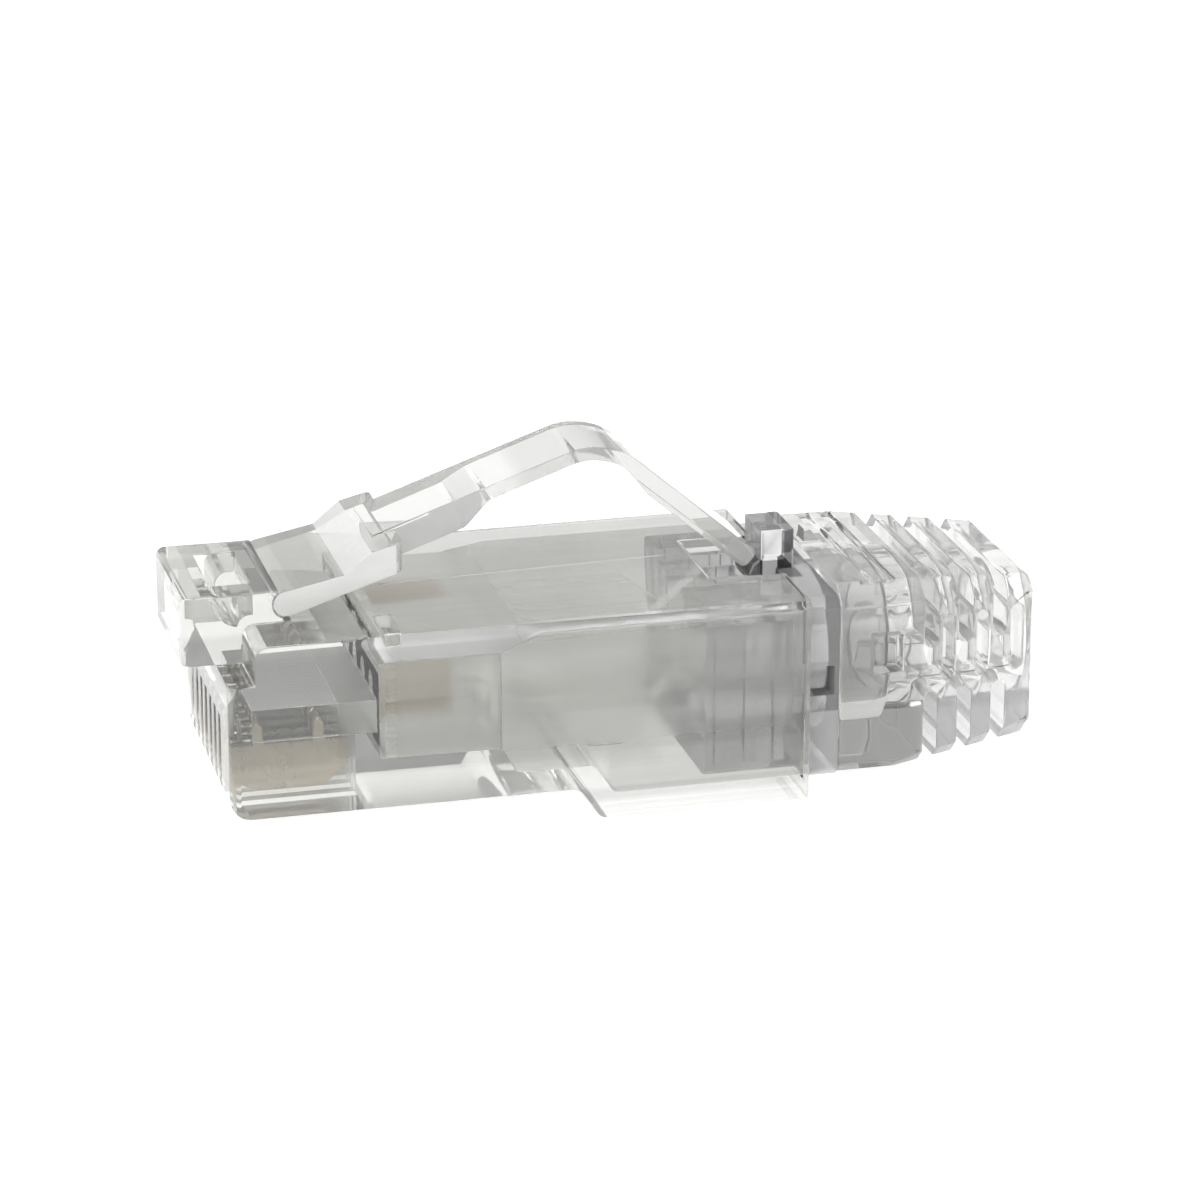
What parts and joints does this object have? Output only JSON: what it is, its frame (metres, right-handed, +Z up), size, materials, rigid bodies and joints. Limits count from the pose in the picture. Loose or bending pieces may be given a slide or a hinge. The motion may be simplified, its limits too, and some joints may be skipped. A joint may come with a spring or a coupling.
{
  "type": "rj45 modular plug",
  "caption": "Clear modular data plug with gold blade contacts, an arched press-down latch, a wire load bar, a rear collar and a ribbed strain-relief boot.",
  "frame": {"origin": "the point of the resting plane under the middle of the plug's length, on the flat belly of the housing", "axes": "+X from the nose towards the cable, +Y across the plug, +Z up towards the latch; the contacts face down"},
  "size_m": [0.033, 0.0116, 0.0134],
  "materials": {
    "clear_housing": "clear polycarbonate, polished mould",
    "clear_latch": "clear polycarbonate, polished mould",
    "clear_insert": "clear polycarbonate insert",
    "smoke_collar": "smoke-tinted clear plastic",
    "clear_boot": "clear flexible plastic",
    "gold_contact": "gold-plated copper alloy"
  },
  "bodies": {
    "housing_body": {"housing": "clear_housing", "contact_1": "gold_contact", "contact_2": "gold_contact", "contact_3": "gold_contact", "contact_4": "gold_contact", "contact_5": "gold_contact", "contact_6": "gold_contact", "contact_7": "gold_contact", "contact_8": "gold_contact", "load_bar": "clear_insert", "pair_guide": "clear_insert", "collar": "smoke_collar", "boot": "clear_boot"},
    "latch_lever_body": {"latch_lever": "clear_latch"},
    "latch_tail_body": {"latch_tail": "clear_latch"}
  },
  "joints": [
    {"name": "latch_press", "type": "hinge", "parent": "housing_body", "child": "latch_lever_body", "pos_m": [-0.01252, 0, 0.00861], "axis": [0, 1, 0], "range_deg": [0, 8], "stiffness_Nm_per_rad": 0.1},
    {"name": "latch_flex", "type": "hinge", "parent": "latch_lever_body", "child": "latch_tail_body", "pos_m": [-0.00615, 0, 0.01093], "axis": [0, 1, 0], "range_deg": [-6.5, 0]}
  ],
  "couplings": [
    {"joint": "latch_flex", "follows": "latch_press", "ratio": -0.8}
  ]
}
